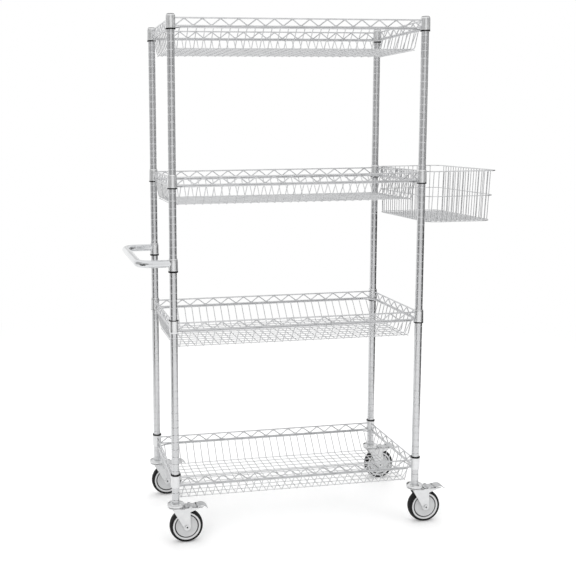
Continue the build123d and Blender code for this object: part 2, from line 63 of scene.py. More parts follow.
def grooveHeight(index):
    return cart["firstGroove"] + index * cart["groovePitch"]


# Shader maths: one class for the sockets of a material
class Shade:
    def __init__(self, tree, socket=None):
        self.tree = tree
        self.socket = socket

    def make(self, kind, inputs=None, out=0, **settings):
        node = self.tree.nodes.new("ShaderNode" + kind)
        stops = settings.pop("stops", None)
        for key, value in settings.items():
            setattr(node, key, value)
        if stops:
            ramp = node.color_ramp.elements
            while len(ramp) < len(stops):
                ramp.new(0.5)
            for element, (place, tone) in zip(ramp, stops):
                element.position = place
                element.color = (tone, tone, tone, 1)
        for key, value in (inputs or {}).items():
            if isinstance(value, Shade):
                self.tree.links.new(value.socket, node.inputs[key])
            else:
                node.inputs[key].default_value = value
        return Shade(self.tree, node.outputs[out])

    def maths(self, operation, first, second):
        return self.make("Math", {0: first, 1: second}, operation=operation)

    def __add__(self, other):
        return self.maths("ADD", self, other)

    def __sub__(self, other):
        return self.maths("SUBTRACT", self, other)

    def __rsub__(self, other):
        return self.maths("SUBTRACT", other, self)

    def __mul__(self, other):
        return self.maths("MULTIPLY", self, other)

    __radd__ = __add__
    __rmul__ = __mul__


def blendTones(shade, factor, dark, light):
    tones = {0: factor, 6: (*dark, 1), 7: (*light, 1)}
    return shade.make("Mix", tones, out=2, data_type="RGBA")


# A plated, cast or moulded finish: cloudy tone, fine grain, small specks, and a bump from the grain
def makeFinish(name, look):
    material = bpy.data.materials.new(name)
    material.use_nodes = True
    tree = material.node_tree
    shader = tree.nodes["Principled BSDF"]
    shade = Shade(tree)
    place = shade.make("TexCoord", out="Object")
    stretched = shade.make("Mapping", {0: place, 3: look["stretch"]})
    cloud = shade.make("TexNoise", {0: place, "Scale": look["cloudScale"], "Detail": look["cloudDetail"]})
    grain = shade.make("TexNoise", {0: stretched, "Scale": look["grainScale"], "Detail": look["grainDetail"]})
    speck = shade.make("TexVoronoi", {0: place, "Scale": look["speckScale"]}, feature="F1")
    spots = shade.make("ValToRGB", {0: speck}, stops=[(0.0, 1.0), (look["speckSize"], 0.0)])
    clouds = shade.make("ValToRGB", {0: cloud}, stops=[(look["cloudFrom"], 0.0), (look["cloudTo"], 1.0)])
    share = clouds * look["cloudShare"] + grain * look["grainShare"]
    tone = blendTones(shade, share, look["dark"], look["light"])
    mixed = {0: spots * look["speckShare"], 6: tone, 7: (*look["speckTone"], 1)}
    colour = shade.make("Mix", mixed, out=2, data_type="RGBA")
    rough = look["rough"] + clouds * look["roughCloud"] + grain * look["roughGrain"]
    rough = rough + spots * look["speckRough"]
    height = grain * look["grainHeight"] + clouds * look["cloudHeight"] - spots * look["speckDepth"]
    bump = shade.make("Bump", {"Height": height, "Distance": 1.0, "Strength": 1.0})
    tree.links.new(colour.socket, shader.inputs["Base Color"])
    tree.links.new(rough.socket, shader.inputs["Roughness"])
    tree.links.new(bump.socket, shader.inputs["Normal"])
    shader.inputs["Metallic"].default_value = look["metallic"]
    shader.inputs["Specular IOR Level"].default_value = look["specular"]
    return material


plated = {
    "metallic": 1.0, "specular": 0.5, "dark": (0.60, 0.61, 0.63), "light": (0.74, 0.75, 0.765),
    "cloudScale": 7.0, "cloudDetail": 4.0, "cloudFrom": 0.3, "cloudTo": 0.7, "cloudShare": 0.7,
    "grainScale": 700.0, "grainDetail": 2.0, "grainShare": 0.3, "stretch": (1.0, 1.0, 0.06),
    "speckScale": 260.0, "speckSize": 0.12, "speckShare": 0.35, "speckTone": (0.45, 0.45, 0.46),
    "rough": 0.16, "roughCloud": 0.07, "roughGrain": 0.08, "speckRough": 0.2,
    "grainHeight": 0.000010, "cloudHeight": 0.0, "speckDepth": 0.00001,
}
drawn = {**plated, "cloudScale": 30.0, "grainScale": 1400.0, "stretch": (1, 1, 1), "roughCloud": 0.1}
cast = {**plated, "stretch": (1, 1, 1), "roughCloud": 0.12, "grainHeight": 0.00002}
moulded = {**plated, "metallic": 0.0, "grainScale": 1500.0, "stretch": (1, 1, 1), "grainHeight": 0.00003}
finishes = {
    "post_zinc": makeFinish("postZinc", {
        **plated, "dark": (0.63, 0.635, 0.645), "light": (0.74, 0.745, 0.755), "rough": 0.2,
    }),
    "wire_chrome": makeFinish("wireChrome", {
        **drawn, "dark": (0.58, 0.585, 0.595), "light": (0.74, 0.745, 0.755), "rough": 0.2,
    }),
    "net_chrome": makeFinish("netChrome", {
        **drawn, "dark": (0.60, 0.605, 0.615), "light": (0.78, 0.785, 0.79), "rough": 0.22,
    }),
    "handle_chrome": makeFinish("handleChrome", {
        **plated, "dark": (0.66, 0.67, 0.685), "light": (0.80, 0.81, 0.82), "stretch": (1.0, 0.06, 1.0),
        "rough": 0.11, "roughCloud": 0.05, "roughGrain": 0.05,
    }),
    "collar_zinc": makeFinish("collarZinc", {
        **cast, "dark": (0.78, 0.785, 0.79), "light": (0.90, 0.905, 0.91), "cloudScale": 60.0,
        "grainScale": 900.0, "rough": 0.24, "roughCloud": 0.1, "cloudHeight": 0.00005,
    }),
    "castor_zinc": makeFinish("castorZinc", {
        **cast, "dark": (0.74, 0.745, 0.75), "light": (0.86, 0.865, 0.87), "cloudScale": 55.0,
        "grainScale": 800.0, "rough": 0.26, "cloudHeight": 0.00006,
    }),
    "pedal_zinc": makeFinish("pedalZinc", {
        **cast, "dark": (0.50, 0.505, 0.515), "light": (0.68, 0.685, 0.69), "cloudScale": 45.0,
        "grainScale": 600.0, "stretch": (1.0, 0.15, 1.0), "rough": 0.3, "cloudHeight": 0.00004,
    }),
    "bearing_steel": makeFinish("bearingSteel", {**plated, "cloudScale": 200.0, "rough": 0.12}),
    "sleeve_black": makeFinish("sleeveBlack", {
        **moulded, "dark": (0.003, 0.003, 0.0035), "light": (0.010, 0.010, 0.011), "specular": 0.15,
        "speckTone": (0.03, 0.03, 0.03), "grainScale": 1800.0, "rough": 0.42,
    }),
    "cap_plastic": makeFinish("capPlastic", {
        **moulded, "dark": (0.10, 0.10, 0.105), "light": (0.16, 0.16, 0.165), "speckTone": (0.2, 0.2, 0.2),
        "rough": 0.45,
    }),
    "tyre_rubber": makeFinish("tyreRubber", {
        **moulded, "dark": (0.004, 0.004, 0.0045), "light": (0.012, 0.012, 0.0125), "specular": 0.25,
        "cloudScale": 28.0, "grainScale": 1200.0, "speckTone": (0.09, 0.088, 0.085), "speckScale": 420.0,
        "speckShare": 0.5, "rough": 0.5, "roughCloud": 0.15, "roughGrain": 0.1, "grainHeight": 0.00004,
        "cloudHeight": 0.00005,
    }),
    "hub_plastic": makeFinish("hubPlastic", {
        **moulded, "dark": (0.54, 0.545, 0.55), "light": (0.62, 0.625, 0.63), "cloudScale": 40.0,
        "speckTone": (0.35, 0.35, 0.35), "rough": 0.4, "roughCloud": 0.1,
    }),
    "hub_ring": makeFinish("hubRing", {
        **moulded, "dark": (0.66, 0.665, 0.67), "light": (0.74, 0.745, 0.75), "cloudScale": 40.0,
        "speckTone": (0.5, 0.5, 0.5), "rough": 0.35, "roughCloud": 0.1,
    }),
    # Near-black finish for the hub groove floors and bolt socket floors: painted shade in those recesses
    "groove_dark": makeFinish("grooveDark", {
        **moulded, "dark": (0.03, 0.03, 0.032), "light": (0.06, 0.06, 0.063), "speckTone": (0.1, 0.1, 0.1),
        "rough": 0.5,
    }),
}
print("finishes made:", len(finishes))


# Meshes from plain points
making = {
    "merge": 1e-7, "bevelAngle": 40, "bevelSteps": 2, "cornerSteps": 3, "cornerShare": 0.45, "onAxis": 1e-6,
    "wireSharp": 50,
}


def meshFrom(verts, faces, sharpAngle=32.0, bevel=0.0):
    shape = bmesh.new()
    made = [shape.verts.new(point) for point in verts]
    for face in faces:
        shape.faces.new([made[index] for index in face])
    bmesh.ops.remove_doubles(shape, verts=shape.verts, dist=making["merge"])
    bmesh.ops.dissolve_degenerate(shape, edges=shape.edges, dist=making["merge"])
    bmesh.ops.recalc_face_normals(shape, faces=shape.faces)
    if bevel:
        limit = math.radians(making["bevelAngle"])
        edges = [edge for edge in shape.edges
                 if len(edge.link_faces) == 2 and edge.calc_face_angle() > limit]
        bmesh.ops.bevel(shape, geom=edges, offset=bevel, segments=making["bevelSteps"], profile=0.5,
                        affect="EDGES", clamp_overlap=True)
    mesh = bpy.data.meshes.new("shape")
    shape.to_mesh(mesh)
    shape.free()
    mesh.shade_smooth()
    mesh.set_sharp_from_angle(angle=math.radians(sharpAngle))
    return mesh


# A profile of (radius, height) turned round Z, all the way or part of it
def turned(profile, sides, sweep=360.0):
    whole = sweep >= 360.0
    rings = sides if whole else sides + 1
    count = len(profile)
    verts = []
    for ring in range(rings):
        angle = math.radians(sweep * ring / sides)
        for radius, height in profile:
            verts.append((radius * math.cos(angle), radius * math.sin(angle), height))
    faces = []
    for ring in range(sides):
        here, there = ring * count, (ring + 1) % rings * count
        for index in range(count):
            after = (index + 1) % count
            if profile[index][0] > 0 or profile[after][0] > 0:
                faces.append((here + index, there + index, there + after, here + after))
    if not whole:
        faces.append(tuple(range(count)))
        faces.append(tuple(range((rings - 1) * count, rings * count)))
    return verts, faces


# Rounds each corner of a closed profile, but keeps points on the axis
def roundedProfile(points, radius):
    rounded = []
    for index, point in enumerate(points):
        here = Vector(point)
        before, after = Vector(points[index - 1]), Vector(points[(index + 1) % len(points)])
        most = making["cornerShare"]
        reach = min(radius, (before - here).length * most, (after - here).length * most)
        if here.x < making["onAxis"] or reach < making["onAxis"]:
            rounded.append(point)
            continue
        first, last = here + (before - here).normalized() * reach, here + (after - here).normalized() * reach
        for step in range(making["cornerSteps"] + 1):
            share = step / making["cornerSteps"]
            curved = first * (1 - share) ** 2 + here * 2 * share * (1 - share) + last * share ** 2
            rounded.append(tuple(curved))
    return rounded


# A turned mesh with its edges rounded
def lathed(profile, edge, sides, sharpAngle=45):
    return meshFrom(*turned(roundedProfile(profile, edge), sides), sharpAngle=sharpAngle)


# An outline in X and Z, made a slab between two places on Y
def slab(outline, low, high):
    count = len(outline)
    verts = [(x, low, z) for x, z in outline] + [(x, high, z) for x, z in outline]
    faces = [tuple(range(count)), tuple(range(2 * count - 1, count - 1, -1))]
    for index in range(count):
        after = (index + 1) % count
        faces.append((index, index + count, after + count, after))
    return verts, faces


def moved(mesh, matrix):
    copy = mesh.copy()
    copy.transform(matrix)
    return copy


def shifted(mesh, x, y, z):
    return moved(mesh, Matrix.Translation((x, y, z)))


def placed(mesh, turn, place):
    return moved(moved(mesh, turn), place)


# Joins meshes into one piece, which rides on a body and stands for CAD nodes
def addPiece(name, meshes, slot, body, nodes=(), look=None):
    shape = bmesh.new()
    for mesh in meshes:
        shape.from_mesh(mesh)
    for face in shape.faces:
        face.material_index = 0
    mesh = bpy.data.meshes.new(name)
    shape.to_mesh(mesh)
    shape.free()
    mesh.materials.append(look or finishes[slot])
    piece = bpy.data.objects.new(name, mesh)
    bpy.context.scene.collection.objects.link(piece)
    even = piece.modifiers.new("evenNormals", "WEIGHTED_NORMAL")
    even.keep_sharp = True
    depsgraph = bpy.context.evaluated_depsgraph_get()
    piece.data = bpy.data.meshes.new_from_object(piece.evaluated_get(depsgraph), depsgraph=depsgraph)
    piece.modifiers.clear()
    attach(piece, body)
    if nodes:
        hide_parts(*nodes)


# Geometry Nodes tree: paths get round bends and a round section, and are repeated in a row
wireSockets = {}


def makeWireTree():
    tree = bpy.data.node_groups.new("wireRun", "GeometryNodeTree")
    tree.interface.new_socket(name="Geometry", in_out="INPUT", socket_type="NodeSocketGeometry")
    tree.interface.new_socket(name="Geometry", in_out="OUTPUT", socket_type="NodeSocketGeometry")
    kinds = {
        "Wire radius": "NodeSocketFloat", "Bend radius": "NodeSocketFloat", "Bend steps": "NodeSocketInt",
        "Sides": "NodeSocketInt", "Copies": "NodeSocketInt", "Step": "NodeSocketVector",
        "Finish": "NodeSocketMaterial",
    }
    for name, kind in kinds.items():
        item = tree.interface.new_socket(name=name, in_out="INPUT", socket_type=kind)
        wireSockets[name] = item.identifier
    nodes, links = tree.nodes, tree.links
    given, result = nodes.new("NodeGroupInput"), nodes.new("NodeGroupOutput")
    curve = nodes.new("GeometryNodeMeshToCurve")
    fillet = nodes.new("GeometryNodeFilletCurve")
    fillet.mode = "POLY"
    section = nodes.new("GeometryNodeCurvePrimitiveCircle")
    tube = nodes.new("GeometryNodeCurveToMesh")
    row = nodes.new("GeometryNodeMeshLine")
    row.mode = "OFFSET"
    copies = nodes.new("GeometryNodeInstanceOnPoints")
    real = nodes.new("GeometryNodeRealizeInstances")
    finish = nodes.new("GeometryNodeSetMaterial")
    links.new(given.outputs["Geometry"], curve.inputs["Mesh"])
    links.new(curve.outputs["Curve"], fillet.inputs["Curve"])
    links.new(given.outputs["Bend radius"], fillet.inputs["Radius"])
    links.new(given.outputs["Bend steps"], fillet.inputs["Count"])
    fillet.inputs["Limit Radius"].default_value = True
    links.new(given.outputs["Sides"], section.inputs["Resolution"])
    links.new(given.outputs["Wire radius"], section.inputs["Radius"])
    links.new(fillet.outputs["Curve"], tube.inputs["Curve"])
    links.new(section.outputs["Curve"], tube.inputs["Profile Curve"])
    tube.inputs["Fill Caps"].default_value = True
    links.new(given.outputs["Copies"], row.inputs["Count"])
    links.new(given.outputs["Step"], row.inputs["Offset"])
    links.new(row.outputs["Mesh"], copies.inputs["Points"])
    links.new(tube.outputs["Mesh"], copies.inputs["Instance"])
    links.new(copies.outputs["Instances"], real.inputs["Geometry"])
    links.new(real.outputs["Geometry"], finish.inputs["Geometry"])
    links.new(given.outputs["Finish"], finish.inputs["Material"])
    links.new(finish.outputs["Geometry"], result.inputs["Geometry"])
    return tree


wireTree = makeWireTree()


def bentWires(paths, radius, slot, bend=0.0, bendSteps=5, sides=10, copies=1, step=(0, 0, 0), closed=False):
    verts, edges = [], []
    for path in paths:
        first = len(verts)
        verts += [tuple(point) for point in path]
        edges += [(first + index, first + index + 1) for index in range(len(path) - 1)]
        if closed:
            edges.append((first + len(path) - 1, first))
    mesh = bpy.data.meshes.new("wirePath")
    mesh.from_pydata(verts, edges, [])
    holder = bpy.data.objects.new("wirePath", mesh)
    modifier = holder.modifiers.new("wireRun", "NODES")
    modifier.node_group = wireTree
    values = {
        "Wire radius": radius, "Bend radius": bend, "Bend steps": bendSteps, "Sides": sides,
        "Copies": copies, "Step": step, "Finish": finishes[slot],
    }
    for name, value in values.items():
        modifier[wireSockets[name]] = value
    bpy.context.scene.collection.objects.link(holder)
    depsgraph = bpy.context.evaluated_depsgraph_get()
    made = bpy.data.meshes.new_from_object(holder.evaluated_get(depsgraph), depsgraph=depsgraph)
    bpy.data.objects.remove(holder)
    made.shade_smooth()
    made.set_sharp_from_angle(angle=math.radians(making["wireSharp"]))
    return made


# Posts: tubes with ring grooves
post = {
    "radius": 0.0127, "bore": 0.0115, "foot": 0.140, "top": 1.758, "grooves": 64,
    "grooveWidth": 0.0024, "grooveDepth": 0.0006, "sides": 40,
    "grooveShape": (
        (-0.7, 0), (-0.5, 0), (-0.32, 0.55), (-0.14, 1), (0.14, 1), (0.32, 0.55), (0.5, 0), (0.7, 0),
    ),
}
profile = [(post["bore"], post["foot"]), (post["radius"], post["foot"])]
for index in range(post["grooves"]):
    middle = grooveHeight(index)
    for along, deep in post["grooveShape"]:
        profile.append((post["radius"] - deep * post["grooveDepth"], middle + along * post["grooveWidth"]))
profile += [(post["radius"], post["top"]), (post["bore"], post["top"])]
postMesh = meshFrom(*turned(profile, post["sides"]), sharpAngle=60)
for corner, (x, y) in corners.items():
    addPiece("post-" + corner, [shifted(postMesh, x, y, 0)], "post_zinc", "root", ["post_" + corner])

# Caps: pressed into the posts, with a thin seam under the head
cap = {
    "height": 0.005, "plug": 0.020, "shoulder": 0.0016, "ease": 0.3, "dome": 0.99, "seam": 0.0005,
    "seamDepth": 0.0007, "sides": 40,
}
easeIn = cap["shoulder"] * cap["ease"]
profile = [
    (0, cap["height"]), (0, -cap["plug"]), (post["bore"], -cap["plug"]), (post["bore"], 0),
    (post["radius"] - cap["seamDepth"], 0), (post["radius"] - cap["seamDepth"], cap["seam"]),
    (post["radius"], cap["seam"]), (post["radius"], cap["height"] - cap["shoulder"]),
    (post["radius"] - easeIn, cap["height"] - easeIn),
    (post["radius"] - cap["shoulder"], cap["height"] * cap["dome"]),
]
capMesh = meshFrom(*turned(profile, cap["sides"]))
addPiece(
    "post-caps", [shifted(capMesh, x, y, post["top"]) for x, y in corners.values()], "cap_plastic", "root",
    ["post_caps"],
)
print("posts and caps done")

# Collars and split sleeves
collar = {
    "height": 0.0428, "baseRadius": 0.0162, "topRadius": 0.0156, "baseBore": 0.0144, "topBore": 0.0136,
    "edge": 0.0008, "foot": 0.003, "shoulderDrop": 0.0055, "shoulderIn": 0.0005, "ease": 0.4, "brim": 0.0005,
    "lipHeight": 0.004, "lipRadius": 0.0162, "short": 0.0035, "split": 1.2, "sides": 48,
    "sleeveSides": 24, "sleeveGap": 0.00005, "postGap": 0.00003,
}
upsideDown = Matrix.Rotation(math.pi, 4, "X")


def collarMesh(height):
    outline = [
        (collar["baseBore"], 0), (collar["baseRadius"], 0), (collar["baseRadius"], collar["foot"]),
        (collar["topRadius"], height - collar["shoulderDrop"]),
        (collar["topRadius"] - collar["shoulderIn"], height - collar["shoulderDrop"] * collar["ease"]),
        (collar["topBore"] + collar["brim"], height), (collar["topBore"], height),
    ]
    return lathed(outline, collar["edge"], collar["sides"], sharpAngle=50)


def sleeveMeshes(height, lip):
    top = height - collar["short"]
    narrowing = (collar["topBore"] - collar["baseBore"]) * top / height
    inner = post["radius"] + collar["postGap"]
    outline = [
        (inner, -lip), (collar["lipRadius"], -lip), (collar["lipRadius"], 0),
        (collar["baseBore"] - collar["sleeveGap"], 0),
        (collar["baseBore"] + narrowing - collar["sleeveGap"], top), (inner, top),
    ]
    half = meshFrom(*turned(outline, collar["sleeveSides"], 180 - collar["split"]), sharpAngle=50)
    return [half, moved(half, Matrix.Rotation(math.pi, 4, "Z"))]


def collarBottom(shelf):
    groove = grooveHeight(cart["shelfGrooves"][shelf])
    return groove - cart["groovePitch"] / 2 + collar["lipHeight"]


def cornerPlaces(shelf):
    bottom = collarBottom(shelf)
    turnedOver = cart["turnedCorners"][shelf]
    for corner, (x, y) in corners.items():
        if turnedOver in ("all", corner):
            yield Matrix.Translation((x, y, bottom + collar["height"])) @ upsideDown
        else:
            yield Matrix.Translation((x, y, bottom))


shelfCollar = collarMesh(collar["height"])
for shelf in cart["shelfGrooves"]:
    places = list(cornerPlaces(shelf))
    addPiece("collars-" + shelf, [moved(shelfCollar, place) for place in places], "collar_zinc", "root",
             ["collars_" + shelf])
    halves = []
    for corner, place in zip(corners, places):
        lip = cart["shortLips"].get((shelf, corner), collar["lipHeight"])
        halves += [moved(half, place) for half in sleeveMeshes(collar["height"], lip)]
    addPiece("sleeves-" + shelf, halves, "sleeve_black", "root", ["sleeves_" + shelf])
print("collars and sleeves done")

# Shelf rims: top wire, zigzag wire and a chord of two stacked wires on each side
rim = {
    "topRise": 0.033, "upperRise": 0.008, "lowerRise": 0.003, "wire": 0.0025, "zigzag": 0.002,
    "zigzagLow": 0.0095, "zigzagHigh": 0.0315, "zigzagBend": 0.0075, "zigzagEnd": 0.044,
    "frontPeaks": 14, "sidePeaks": 7, "cornerBend": 0.050, "stop": 0.0146,
}


def zigzagPath(half, peaks):
    period = 2 * (half - rim["zigzagEnd"]) / (peaks - 1)
    points = []
    for step in range(2 * peaks + 1):
        along = -half + rim["zigzagEnd"] + (step - 1) * period / 2
        points.append((along, rim["zigzagLow"] if step % 2 == 0 else rim["zigzagHigh"]))
    return points


halfX, halfY = cart["halfX"], cart["halfY"]
reachX, reachY = halfX - rim["stop"], halfY - rim["stop"]
straightPaths, zigzagPaths = [], []
for side in (-1, 1):
    for rise in (rim["topRise"], rim["upperRise"]):
        straightPaths.append([(-reachX, side * halfY, rise), (reachX, side * halfY, rise)])
        straightPaths.append([(side * halfX, -reachY, rise), (side * halfX, reachY, rise)])
    zigzagPaths.append([(x, side * halfY, z) for x, z in zigzagPath(halfX, rim["frontPeaks"])])
    zigzagPaths.append([(side * halfX, y, z) for y, z in zigzagPath(halfY, rim["sidePeaks"])])
ringPath = [(x * halfX, y * halfY, rim["lowerRise"]) for x, y in ((-1, -1), (1, -1), (1, 1), (-1, 1))]
rimMeshes = [
    bentWires(straightPaths, rim["wire"], "wire_chrome", sides=14),
    bentWires(zigzagPaths, rim["zigzag"], "wire_chrome", bend=rim["zigzagBend"], bendSteps=4, sides=10),
    bentWires([ringPath], rim["wire"], "wire_chrome", bend=rim["cornerBend"], bendSteps=14, sides=14,
              closed=True),
]

# Baskets: wires that run down one wall, across the floor and up the other wall
basket = {
    "wire": 0.0015, "topRise": 0.002, "crossRise": -0.0611, "lengthRise": -0.0583, "lean": 0.055,
    "sideLean": 0.013, "bend": 0.010, "crossWires": 30, "crossInset": 0.0285, "lengthWires": 11,
}
footX, footY = halfX - basket["sideLean"], halfY - basket["lean"]
crossPitch = 2 * (halfX - basket["crossInset"]) / (basket["crossWires"] - 1)
lengthPitch = 2 * footY / (basket["lengthWires"] - 1)
crossStart = -halfX + basket["crossInset"]
crossPath = [
    (crossStart, -halfY, basket["topRise"]), (crossStart, -footY, basket["crossRise"]),
    (crossStart, footY, basket["crossRise"]), (crossStart, halfY, basket["topRise"]),
]
lengthPath = [
    (-halfX, -footY, basket["topRise"]), (-footX, -footY, basket["lengthRise"]),
    (footX, -footY, basket["lengthRise"]), (halfX, -footY, basket["topRise"]),
]
endPaths = [[(side * footX, -footY, basket["crossRise"]), (side * footX, footY, basket["crossRise"])]
            for side in (-1, 1)]
basketMeshes = [
    bentWires([crossPath], basket["wire"], "wire_chrome", bend=basket["bend"], sides=8,
              copies=basket["crossWires"], step=(crossPitch, 0, 0)),
    bentWires([lengthPath], basket["wire"], "wire_chrome", bend=basket["bend"], sides=8,
              copies=basket["lengthWires"], step=(0, lengthPitch, 0)),
    bentWires(endPaths, basket["wire"], "wire_chrome", sides=8),
]
for shelf in cart["shelfGrooves"]:
    bottom = collarBottom(shelf)
    addPiece("rim-" + shelf, [shifted(mesh, 0, 0, bottom) for mesh in rimMeshes], "wire_chrome", "root",
             ["rim_" + shelf])
    addPiece("basket-" + shelf, [shifted(mesh, 0, 0, bottom) for mesh in basketMeshes], "wire_chrome", "root",
             ["basket_walls_" + shelf, "basket_floor_" + shelf], look=finishes["net_chrome"])
print("shelves done")

# Push handle with its own collars and sleeves
handle = {
    "reach": 0.1125, "radius": 0.0125, "bend": 0.045, "groove": 31, "beadRise": 0.006, "rise": 0.024,
    "height": 0.040, "stop": 0.009, "lip": 0.0058,
}
handleBottom = grooveHeight(handle["groove"]) - handle["beadRise"] + collar["lipHeight"]
handleZ = handleBottom + handle["rise"]
handlePath = [
    (-halfX - handle["stop"], -halfY, handleZ), (-halfX - handle["reach"], -halfY, handleZ),
    (-halfX - handle["reach"], halfY, handleZ), (-halfX - handle["stop"], halfY, handleZ),
]
addPiece(
    "push-handle",
    [bentWires([handlePath], handle["radius"], "handle_chrome", bend=handle["bend"], bendSteps=16, sides=40)],
    "handle_chrome", "root", ["push_handle"],
)
handlePlaces = [Matrix.Translation((-halfX, side * halfY, handleBottom)) for side in (-1, 1)]
handleCollar = collarMesh(handle["height"])
handleSleeve = sleeveMeshes(handle["height"], handle["lip"])
addPiece("handle-collars", [moved(handleCollar, place) for place in handlePlaces], "collar_zinc", "root",
         ["handle_collars"])
addPiece("handle-sleeves", [moved(half, place) for place in handlePlaces for half in handleSleeve],
         "sleeve_black", "root", ["handle_sleeves"])
print("handle done")

# Side basket: a rim, a middle and a floor loop joined by upright wires, a mesh floor and three hooks
hang = {
    "innerX": 0.450, "rimX": 0.700, "rimHalf": 0.228, "rimCorner": 0.026, "rimZ": 1.2486,
    "footX": 0.6935, "footHalf": 0.222, "footCorner": 0.050, "floorZ": 1.0736, "cornerSteps": 8,
    "rimWire": 0.002, "wire": 0.00125, "loopShare": 1.2, "layShare": 0.9, "bend": 0.005,
    "longPitch": 0.018, "lastUpright": 0.666, "longUprights": 12, "endPitch": 0.020, "endUprights": 19,
    "hookYs": (-0.183, 0.0, 0.183), "hookWire": 0.0015, "hookHalf": 0.0025, "hookGap": 0.0003,
    "hookDrop": 0.018, "hookBend": 0.0024,
}


# A loop at a share of the way down from the rim to the floor: far side, half width, corner and height
def hangLevel(share):
    ends = (("rimX", "footX"), ("rimHalf", "footHalf"), ("rimCorner", "footCorner"), ("rimZ", "floorZ"))
    return [hang[top] + (hang[foot] - hang[top]) * share for top, foot in ends]


def hangLoop(share):
    high, half, corner, z = hangLevel(share)
    low, steps = hang["innerX"], hang["cornerSteps"]
    points = []
    for x, y, start in ((high, -half, -90), (high, half, 0), (low, half, 90), (low, -half, 180)):
        centreX, centreY = x - math.copysign(corner, x - (low + high) / 2), y - math.copysign(corner, y)
        for step in range(steps + 1):
            angle = math.radians(start + 90 * step / steps)
            points.append((centreX + corner * math.cos(angle), centreY + corner * math.sin(angle), z))
    return points


# How far a rounded corner draws the floor loop in, at a place along one of its sides
def footInset(along, low, high):
    corner = hang["footCorner"]
    over = min(max(0.0, corner - min(along - low, high - along)), corner)
    return corner - math.sqrt(corner ** 2 - over ** 2)


# Each wire runs down one wall, across the floor and up the other wall
innerX, outerX, footHalf = hang["innerX"], hang["footX"], hang["footHalf"]
rimTop = hang["rimZ"] - hang["rimWire"]
hangPaths = []
for index in range(hang["longUprights"]):
    x = hang["lastUpright"] - hang["longPitch"] * index
    foot = innerX + (x - innerX) * (outerX - innerX) / (hang["rimX"] - innerX)
    y, z = footHalf - footInset(foot, innerX, outerX), hang["floorZ"] + hang["wire"] * hang["layShare"]
    hangPaths.append([(x, -hang["rimHalf"], rimTop), (foot, -y, z), (foot, y, z),
                      (x, hang["rimHalf"], rimTop)])
for index in range(hang["endUprights"]):
    y = (index - (hang["endUprights"] - 1) / 2) * hang["endPitch"]
    foot = y * footHalf / hang["rimHalf"]
    inset, z = footInset(foot, -footHalf, footHalf), hang["floorZ"] - hang["wire"]
    hangPaths.append([(innerX, y, rimTop), (innerX + inset, foot, z), (outerX - inset, foot, z),
                      (hang["rimX"], y, rimTop)])
rimLoop = [(x, y, rimTop) for x, y, z in hangLoop(0.0)]
lowLoops = [hangLoop(0.5), hangLoop(1.0)]
addPiece(
    "side-basket",
    [
        bentWires([rimLoop], hang["rimWire"], "wire_chrome", sides=12, closed=True),
        bentWires(lowLoops, hang["wire"] * hang["loopShare"], "wire_chrome", sides=10, closed=True),
        bentWires(hangPaths, hang["wire"], "wire_chrome", bend=hang["bend"], bendSteps=4, sides=8),
    ],
    "wire_chrome", "side_basket",
    ["side_basket_walls", "side_basket_corners", "side_basket_floor"], look=finishes["net_chrome"],
)
hookTop = collarBottom("upper") + rim["topRise"] + rim["wire"] + hang["hookGap"] + hang["hookWire"]
hookIn = halfX - rim["wire"] - hang["hookGap"] - hang["hookWire"]
hookOut = hang["innerX"] - hang["wire"] - hang["hookWire"]
hookPaths = []
for y in hang["hookYs"]:
    outside = [(hookOut, hookTop - 2 * hang["hookDrop"]), (hookOut, hookTop), (hookIn, hookTop),
               (hookIn, hookTop - hang["hookDrop"])]
    path = [(x, y - hang["hookHalf"], z) for x, z in outside]
    path += [(x, y + hang["hookHalf"], z) for x, z in reversed(outside)]
    hookPaths.append(path)
addPiece(
    "side-basket-hooks",
    [bentWires(hookPaths, hang["hookWire"], "wire_chrome", bend=hang["hookBend"], bendSteps=5, sides=10)],
    "wire_chrome", "side_basket", ["side_basket_hooks"],
)
print("side basket done")

# Castors, built on a post axis with the wheel trailing to the right
castor = {
    "height": 0.137, "plateRadius": 0.029, "plateTop": 0.133, "plateBottom": 0.1295, "lipWall": 0.002,
    "lipSlope": 0.003, "neckRadius": 0.0165, "neckIn": 0.0006, "neckRise": 0.002, "neckTop": 0.004,
    "plug": 0.045, "stemEdge": 0.0009, "kingpin": 0.005, "kingpinHead": 0.008, "headBottom": 0.1181,
    "headTop": 0.1206, "discRadius": 0.0275, "discTop": 0.127, "discSink": 0.0002, "discGap": 0.0001,
    "discEdge": 0.0008, "crownTop": 0.124, "crownBottom": 0.121, "crownTail": -0.014, "crownFront": 0.029,
    "crownBevel": 0.0008, "legGap": 0.019, "legThick": 0.0025, "legFront": 0.076, "legFrontDepth": 0.004,
    "legEnd": 0.012, "legEndSteps": 20, "legFlare": 0.0145, "legBevel": 0.0004, "earHalf": 0.006,
    "earSteps": 12, "trail": 0.035, "axleZ": 0.0575, "pinX": 0.048, "pinZ": 0.1233, "pinRadius": 0.003,
    "pinHead": 0.0045, "pinHeadHeight": 0.0015,
    "pinDome": ((0, 1), (0.55, 0.88), (0.88, 0.5), (1, 0), (0, 0)),
}
lipIn, plugTop = castor["plateRadius"] - castor["lipWall"], post["foot"] + castor["plug"]
stemProfile = [
    (0, castor["headBottom"]), (castor["kingpinHead"], castor["headBottom"]),
    (castor["kingpinHead"], castor["headTop"]), (castor["kingpin"], castor["headTop"]),
    (castor["kingpin"], castor["plateBottom"]), (castor["plateRadius"], castor["plateBottom"]),
    (castor["plateRadius"], castor["height"]), (lipIn, castor["height"]),
    (lipIn - castor["lipSlope"], castor["plateTop"]), (castor["neckRadius"], castor["plateTop"]),
    (post["radius"] + castor["neckIn"], castor["plateTop"] + castor["neckRise"]),
    (post["radius"], castor["plateTop"] + castor["neckTop"]), (post["radius"], post["foot"]),
    (post["bore"], post["foot"]), (post["bore"], plugTop), (0, plugTop),
]
